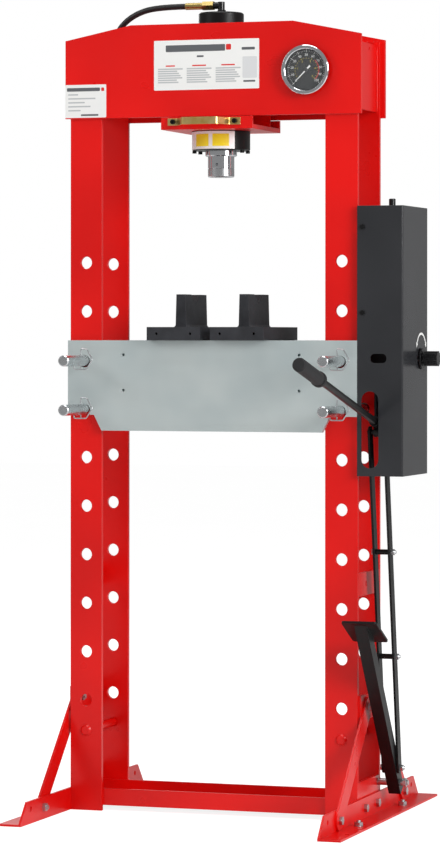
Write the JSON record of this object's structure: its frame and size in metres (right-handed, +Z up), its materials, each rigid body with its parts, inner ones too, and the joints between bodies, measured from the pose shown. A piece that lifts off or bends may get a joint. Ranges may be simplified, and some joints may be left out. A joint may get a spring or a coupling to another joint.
{
  "type": "hydraulic press",
  "caption": "Floor-standing H-frame hydraulic press with a sliding ram carriage, a pinned height-adjustable bed and a hand and foot pump.",
  "frame": {"origin": "on the floor, midway between the two uprights", "axes": "+X to the right towards the pump box, +Y to the back, +Z up"},
  "size_m": [0.8815, 1.0625, 1.839],
  "materials": {
    "frame_paint": "gloss",
    "zinc_fasteners": "bright",
    "bed_coating": "satin",
    "bright_steel": "bright",
    "dark_steel": "satin",
    "brass_fittings": "bright",
    "black_rubber": "matte",
    "gauge_black": "gloss",
    "gauge_dial_face": "matte",
    "gauge_glass": "clear",
    "pump_box_paint": "satin",
    "black_paint": "satin",
    "knob_plastic": "gloss",
    "pad_plastic": "matte",
    "gold_handle": "satin",
    "chrome_rod": "mirror",
    "pointer_white": "matte"
  },
  "bodies": {
    "frame": {"uprights_left": "frame_paint", "uprights_right": "frame_paint", "beam_plate_front": "frame_paint", "beam_plate_rear": "frame_paint", "beam_end_plates": "frame_paint", "battens": "frame_paint", "base_crossbar": "frame_paint", "foot_left": "frame_paint", "foot_right": "frame_paint", "braces": "frame_paint", "spreader_rods": "zinc_fasteners", "frame_bolts": "zinc_fasteners", "frame_nuts": "zinc_fasteners", "anchor_bolts": "zinc_fasteners", "bed_plate_front": "bed_coating", "bed_plate_rear": "bed_coating", "bed_cross_plates": "bed_coating", "bed_pins": "bright_steel", "pin_clips": "zinc_fasteners", "v_block_left": "dark_steel", "v_block_right": "dark_steel", "carriage_rails": "frame_paint", "pump_fittings": "brass_fittings", "hose": "black_rubber", "gauge_pipe": "bright_steel", "gauge_case": "gauge_black", "gauge_bezel": "gauge_black", "gauge_dial": "gauge_dial_face", "gauge_glass": "gauge_glass", "pump_box": "pump_box_paint", "box_lugs": "frame_paint", "box_screws": "black_paint", "pump_block": "dark_steel", "oil_tank": "pump_box_paint", "filler_plug": "knob_plastic", "rocker_pin": "bright_steel", "pivot_rod": "zinc_fasteners"},
    "carriage": {"carriage_frame": "frame_paint", "slide_pads": "pad_plastic", "carriage_handle": "gold_handle", "socket_screws": "black_paint", "cylinder_barrel": "frame_paint", "cylinder_cap": "frame_paint", "gland_ring": "chrome_rod", "elbow_fitting": "black_paint", "hose_nut": "brass_fittings", "crimp_sleeve": "brass_fittings", "ram_return_spring": "dark_steel"},
    "ram_rod": {"ram": "chrome_rod", "ram_pad": "bright_steel"},
    "pointer": {"gauge_pointer": "pointer_white"},
    "rocker": {"pump_rocker": "black_paint", "hand_lever": "black_paint", "lever_grip": "black_rubber"},
    "plunger": {"pump_plunger": "bright_steel"},
    "pedal": {"foot_pedal": "black_paint"},
    "link": {"link_bars": "black_paint", "link_spacers": "zinc_fasteners", "link_bolts": "zinc_fasteners"},
    "release": {"release_knob": "knob_plastic"}
  },
  "joints": [
    {"name": "carriage_slide", "type": "slide", "parent": "frame", "child": "carriage", "axis": [1, 0, 0], "range_m": [-0.09, 0.11], "deforming": ["hose"]},
    {"name": "ram_stroke", "type": "slide", "parent": "carriage", "child": "ram_rod", "axis": [0, 0, -1], "range_m": [0, 0.16], "stiffness_N_per_m": 400, "springref_m": -0.3, "deforming": ["ram_return_spring"]},
    {"name": "pointer_turn", "type": "hinge", "parent": "frame", "child": "pointer", "pos_m": [0.225, -0.109, 1.67], "axis": [0, 1, 0], "range_deg": [0, 270], "stiffness_Nm_per_rad": 0.0005, "springref_deg": -17.19},
    {"name": "lever_swing", "type": "hinge", "parent": "frame", "child": "rocker", "pos_m": [0.379, -0.035, 0.877], "axis": [1, 0, 0], "range_deg": [0, 40]},
    {"name": "plunger_slide", "type": "slide", "parent": "frame", "child": "plunger", "axis": [0, 0, 1], "range_m": [0, 0.0193]},
    {"name": "pedal_swing", "type": "hinge", "parent": "frame", "child": "pedal", "pos_m": [0.379, 0.074, 0.0715], "axis": [1, 0, 0], "range_deg": [0, 41]},
    {"name": "link_swing", "type": "hinge", "parent": "pedal", "child": "link", "pos_m": [0.379, 0.04876, 0.10754], "axis": [1, 0, 0], "range_deg": [-43.5, 0]},
    {"name": "release_turn", "type": "hinge", "parent": "frame", "child": "release", "pos_m": [0.4495, 0.042, 1.028], "axis": [1, 0, 0], "range_deg": [0, 270]}
  ],
  "couplings": [
    {"joint": "plunger_slide", "follows": "lever_swing", "m_per_rad": 0.0275},
    {"joint": "pedal_swing", "follows": "lever_swing", "ratio": 1.0223},
    {"joint": "link_swing", "follows": "lever_swing", "ratio": -1.0854}
  ]
}
